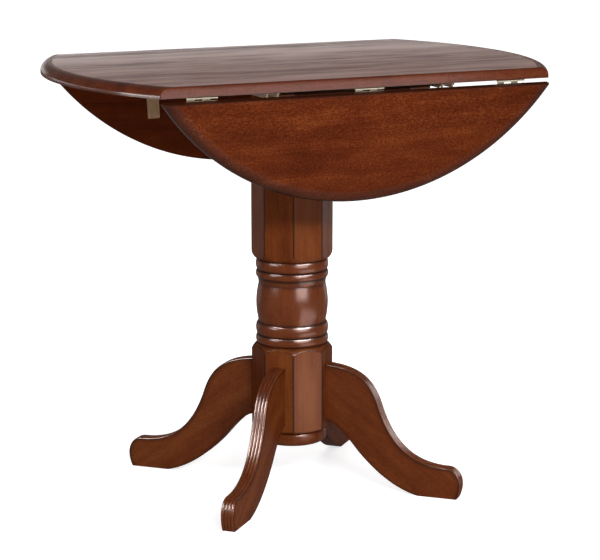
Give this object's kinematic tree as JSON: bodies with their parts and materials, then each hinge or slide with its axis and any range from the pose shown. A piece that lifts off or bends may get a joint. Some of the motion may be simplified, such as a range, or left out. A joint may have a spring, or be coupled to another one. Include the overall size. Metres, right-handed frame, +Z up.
{
  "type": "drop leaf pub table",
  "caption": "Pub-height drop leaf table: fixed centre panel with hinged hanging leaves on folding stays, turned octagonal pedestal and S-curved reeded legs.",
  "frame": {"origin": "on the floor, under the axis of the pedestal column", "axes": "+X along the hinge lines of the leaves, +Y from the front leaf to the back leaf, +Z up"},
  "size_m": [1.034, 0.6978, 0.9144],
  "materials": {
    "cherry_stained_wood": "satin lacquer",
    "frame_wood": "stained, unpolished",
    "hinge_brass": "pale satin brass",
    "brassed_steel": "dull brass plating",
    "bright_steel": "bright"
  },
  "bodies": {
    "base": {"back_left_hinge_panel_flap": "hinge_brass", "back_left_hinge_pin": "bright_steel", "back_left_stay_bracket": "brassed_steel", "back_left_stay_rivet": "bright_steel", "back_left_stay_spring": "bright_steel", "back_leg": "cherry_stained_wood", "back_leg_bolt_lower": "bright_steel", "back_leg_bolt_upper": "bright_steel", "back_middle_hinge_panel_flap": "hinge_brass", "back_middle_hinge_pin": "bright_steel", "back_rail": "frame_wood", "back_right_hinge_panel_flap": "hinge_brass", "back_right_hinge_pin": "bright_steel", "back_right_stay_bracket": "brassed_steel", "back_right_stay_rivet": "bright_steel", "back_right_stay_spring": "bright_steel", "centre_panel": "cherry_stained_wood", "column_base_cap": "cherry_stained_wood", "front_left_hinge_panel_flap": "hinge_brass", "front_left_hinge_pin": "bright_steel", "front_left_stay_bracket": "brassed_steel", "front_left_stay_rivet": "bright_steel", "front_left_stay_spring": "bright_steel", "front_leg": "cherry_stained_wood", "front_leg_bolt_lower": "bright_steel", "front_leg_bolt_upper": "bright_steel", "front_middle_hinge_panel_flap": "hinge_brass", "front_middle_hinge_pin": "bright_steel", "front_rail": "frame_wood", "front_right_hinge_panel_flap": "hinge_brass", "front_right_hinge_pin": "bright_steel", "front_right_stay_bracket": "brassed_steel", "front_right_stay_rivet": "bright_steel", "front_right_stay_spring": "bright_steel", "left_cleat": "frame_wood", "left_leg": "cherry_stained_wood", "left_leg_bolt_lower": "bright_steel", "left_leg_bolt_upper": "bright_steel", "mounting_plate": "frame_wood", "pedestal_column": "cherry_stained_wood", "right_cleat": "frame_wood", "right_leg": "cherry_stained_wood", "right_leg_bolt_lower": "bright_steel", "right_leg_bolt_upper": "bright_steel"},
    "front_leaf": {"front_leaf": "cherry_stained_wood", "front_left_hinge_leaf_flap": "hinge_brass", "front_left_stay_arm": "brassed_steel", "front_middle_hinge_leaf_flap": "hinge_brass", "front_right_hinge_leaf_flap": "hinge_brass", "front_right_stay_arm": "brassed_steel"},
    "back_leaf": {"back_leaf": "cherry_stained_wood", "back_left_hinge_leaf_flap": "hinge_brass", "back_left_stay_arm": "brassed_steel", "back_middle_hinge_leaf_flap": "hinge_brass", "back_right_hinge_leaf_flap": "hinge_brass", "back_right_stay_arm": "brassed_steel"}
  },
  "joints": [
    {"name": "front_leaf_hinge", "type": "hinge", "parent": "base", "child": "front_leaf", "pos_m": [0, -0.3255, 0.89007], "axis": [-1, 0, 0], "range_deg": [-10, 98]},
    {"name": "back_leaf_hinge", "type": "hinge", "parent": "base", "child": "back_leaf", "pos_m": [0, 0.3255, 0.89007], "axis": [1, 0, 0], "range_deg": [-10, 98]}
  ]
}
